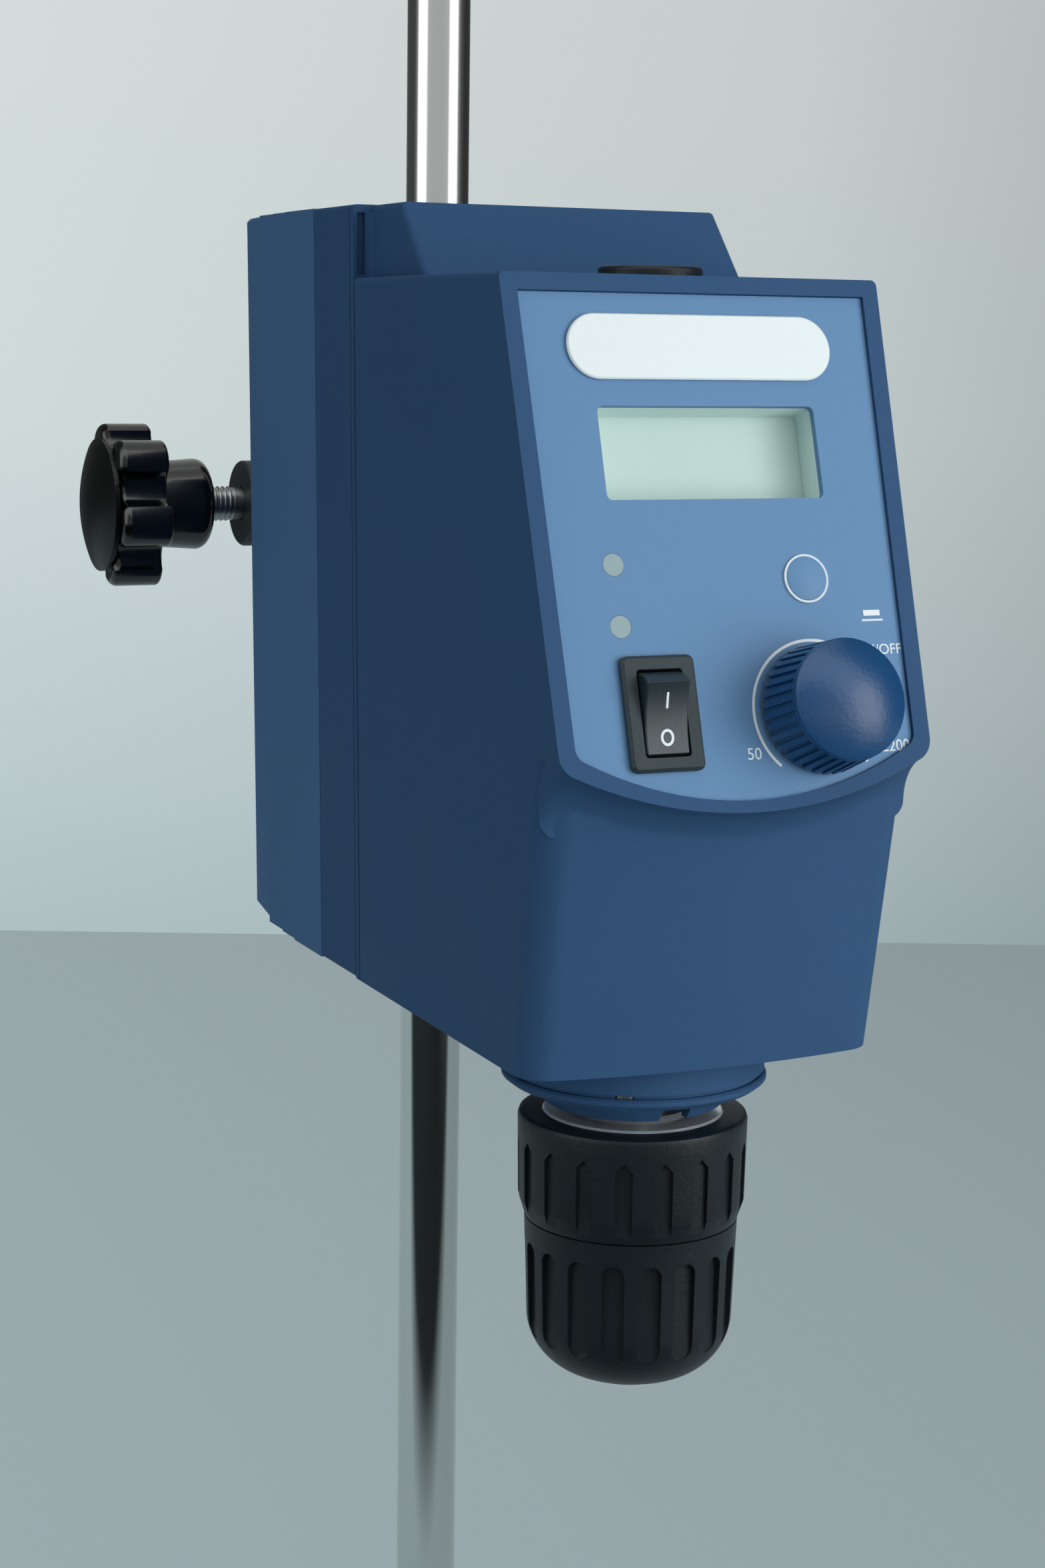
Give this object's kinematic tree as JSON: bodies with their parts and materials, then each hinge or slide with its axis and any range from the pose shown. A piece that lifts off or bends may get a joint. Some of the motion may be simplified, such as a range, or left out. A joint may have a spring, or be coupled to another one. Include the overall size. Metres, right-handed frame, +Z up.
{
  "type": "overhead stirrer",
  "caption": "Belt-driven overhead stirrer with a sloping control panel and a keyless chuck, held on a support rod by a two-screw boss head.",
  "frame": {"origin": "on the spindle axis, level with the flat underside of the head", "axes": "+Z up along the spindle axis, +X to the right of a person facing the control panel, -Y towards that person"},
  "size_m": [0.1598, 0.259, 0.5],
  "materials": {
    "housing": "dark blue, fine moulded texture",
    "panel": "satin blue overlay",
    "plate": "satin white, raised and blank",
    "trim": "matt pale grey-green",
    "ring": "white",
    "display": "pale green-grey display glass",
    "lens": "frosted lamp lens",
    "board": "green circuit board",
    "knob": "dark blue, fine orange-peel texture",
    "button": "satin blue",
    "black_gloss": "glossy black",
    "black_matt": "matt black",
    "steel": "ground steel",
    "chrome": "bright plated",
    "zinc": "zinc-plated",
    "cast": "fine dark grey enamel on a casting",
    "alloy": "machined aluminium",
    "belt": "matt black rubber"
  },
  "bodies": {
    "stand": {"support_rod": "chrome"},
    "boss_head": {"boss_head": "cast"},
    "bar_pad": {"bar_clamp_pad": "steel"},
    "bar_screw": {"bar_clamp_screw": "zinc", "bar_star_knob": "black_gloss", "bar_star_cap": "black_gloss"},
    "rod_pad": {"rod_clamp_pad": "steel"},
    "rod_screw": {"rod_clamp_screw": "zinc", "rod_star_knob": "black_gloss", "rod_star_cap": "black_gloss"},
    "head": {"front_housing": "housing", "middle_frame": "housing", "rear_cover": "housing", "cover_screws": "zinc", "power_inlet": "black_matt", "power_board": "board", "control_panel": "panel", "name_plate": "plate", "display_surround": "trim", "display_module": "display", "lamp_lenses": "lens", "control_board": "board", "encoder_body": "zinc", "button_ring": "ring", "switch_body": "black_matt", "drive_plate": "alloy", "motor_screws": "zinc", "motor_housing": "steel", "drive_belt": "belt", "bearing_tube": "alloy", "spindle_bearings": "steel", "retaining_rings": "steel", "spindle_collar": "housing", "collar_screws": "zinc", "mounting_bar": "steel", "bar_collar": "zinc"},
    "spindle": {"spindle": "steel", "spindle_pulley": "alloy", "chuck_body": "zinc", "chuck_ring": "chrome", "upper_sleeve": "black_matt", "nose_ring": "chrome"},
    "rotor": {"motor_shaft": "steel", "motor_pulley": "alloy"},
    "lower_sleeve": {"lower_sleeve": "black_matt", "jaw_nut": "zinc"},
    "jaw_1": {"chuck_jaw_1": "steel"},
    "jaw_2": {"chuck_jaw_2": "steel"},
    "jaw_3": {"chuck_jaw_3": "steel"},
    "encoder": {"encoder_shaft": "steel"},
    "knob": {"speed_knob": "knob"},
    "button": {"mode_button": "button"},
    "rocker": {"switch_rocker": "black_gloss"},
    "top_cap": {"top_cap": "black_matt"}
  },
  "joints": [
    {"name": "boss_slide", "type": "slide", "parent": "stand", "child": "boss_head", "axis": [0, 0, 1], "range_m": [-0.1, 0.1]},
    {"name": "bar_pad_travel", "type": "slide", "parent": "boss_head", "child": "bar_pad", "axis": [-1, 0, 0], "range_m": [0, 0.0025]},
    {"name": "bar_screw_turn", "type": "hinge", "parent": "bar_pad", "child": "bar_screw", "pos_m": [-0.03, 0.175, 0.0963], "axis": [-1, 0, 0], "range_deg": [0, 720]},
    {"name": "rod_pad_travel", "type": "slide", "parent": "boss_head", "child": "rod_pad", "axis": [1, 0, 0], "range_m": [0, 0.0025]},
    {"name": "rod_screw_turn", "type": "hinge", "parent": "rod_pad", "child": "rod_screw", "pos_m": [0.06, 0.175, 0.0963], "axis": [1, 0, 0], "range_deg": [0, 720]},
    {"name": "head_tilt", "type": "hinge", "parent": "boss_head", "child": "head", "pos_m": [0, 0.175, 0.0963], "axis": [0, 1, 0], "range_deg": [-90, 90]},
    {"name": "spindle_spin", "type": "hinge", "parent": "head", "child": "spindle", "pos_m": [0, 0, 0], "axis": [0, 0, 1], "continuous": true},
    {"name": "rotor_spin", "type": "hinge", "parent": "head", "child": "rotor", "pos_m": [0, 0.055, 0], "axis": [0, 0, 1], "continuous": true},
    {"name": "sleeve_turn", "type": "hinge", "parent": "spindle", "child": "lower_sleeve", "pos_m": [0, 0, -0.05], "axis": [0, 0, 1], "range_deg": [0, 2160]},
    {"name": "jaw_1_travel", "type": "slide", "parent": "spindle", "child": "jaw_1", "axis": [-0.2387, -0.1378, -0.9613], "range_m": [0, 0.01889]},
    {"name": "jaw_2_travel", "type": "slide", "parent": "spindle", "child": "jaw_2", "axis": [0.2387, -0.1378, -0.9613], "range_m": [0, 0.01889]},
    {"name": "jaw_3_travel", "type": "slide", "parent": "spindle", "child": "jaw_3", "axis": [0, 0.2756, -0.9613], "range_m": [0, 0.01889]},
    {"name": "encoder_push", "type": "slide", "parent": "head", "child": "encoder", "axis": [0, 0.9527, -0.304], "range_m": [0, 0.001], "stiffness_N_per_m": 1500, "springref_m": -0.0005},
    {"name": "knob_turn", "type": "hinge", "parent": "encoder", "child": "knob", "pos_m": [0.0156, -0.04354, 0.06998], "axis": [0, 0.9527, -0.304], "range_deg": [0, 270]},
    {"name": "button_push", "type": "slide", "parent": "head", "child": "button", "axis": [0, 0.9527, -0.304], "range_m": [0, 0.0006], "stiffness_N_per_m": 1200, "springref_m": -0.0004},
    {"name": "rocker_tip", "type": "hinge", "parent": "head", "child": "rocker", "pos_m": [-0.0172, -0.04185, 0.07017], "axis": [-1, 0, 0], "range_deg": [0, 32]},
    {"name": "cap_lift", "type": "slide", "parent": "head", "child": "top_cap", "axis": [0, 0, 1], "range_m": [0, 0.015]}
  ],
  "couplings": [
    {"joint": "rotor_spin", "follows": "spindle_spin", "ratio": 1.8},
    {"joint": "bar_pad_travel", "follows": "bar_screw_turn", "m_per_rad": 0.00019894},
    {"joint": "rod_pad_travel", "follows": "rod_screw_turn", "m_per_rad": 0.00019894},
    {"joint": "jaw_1_travel", "follows": "sleeve_turn", "m_per_rad": 0.00050042},
    {"joint": "jaw_2_travel", "follows": "sleeve_turn", "m_per_rad": 0.00050042},
    {"joint": "jaw_3_travel", "follows": "sleeve_turn", "m_per_rad": 0.00050042}
  ]
}
